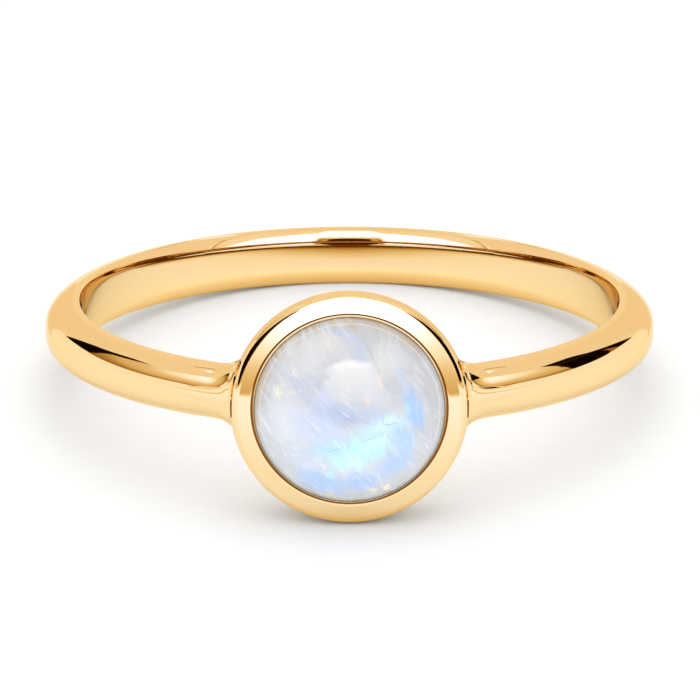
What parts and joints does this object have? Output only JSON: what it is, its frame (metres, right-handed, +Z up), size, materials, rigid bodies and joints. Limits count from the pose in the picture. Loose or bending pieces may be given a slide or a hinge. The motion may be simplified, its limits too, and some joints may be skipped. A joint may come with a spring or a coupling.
{
  "type": "moonstone ring",
  "caption": "Polished gold ring with a half-round band and a round bezel holding a domed moonstone cabochon, lying on its side.",
  "frame": {"origin": "on the surface that the ring lies on, below the middle of the ring's box", "axes": "+Z up, -Y towards the stone, +X to the right seen from the stone's side; the finger hole leans 8.47 degrees from +Z towards +Y, because the ring rests on its bezel"},
  "size_m": [0.0196, 0.021, 0.0074],
  "materials": {
    "gold": "polished 14 carat yellow gold",
    "moonstone": "polished, milky and translucent with a blue sheen"
  },
  "bodies": {
    "root": {"ring_mount": "gold", "moonstone": "moonstone"}
  },
  "joints": []
}
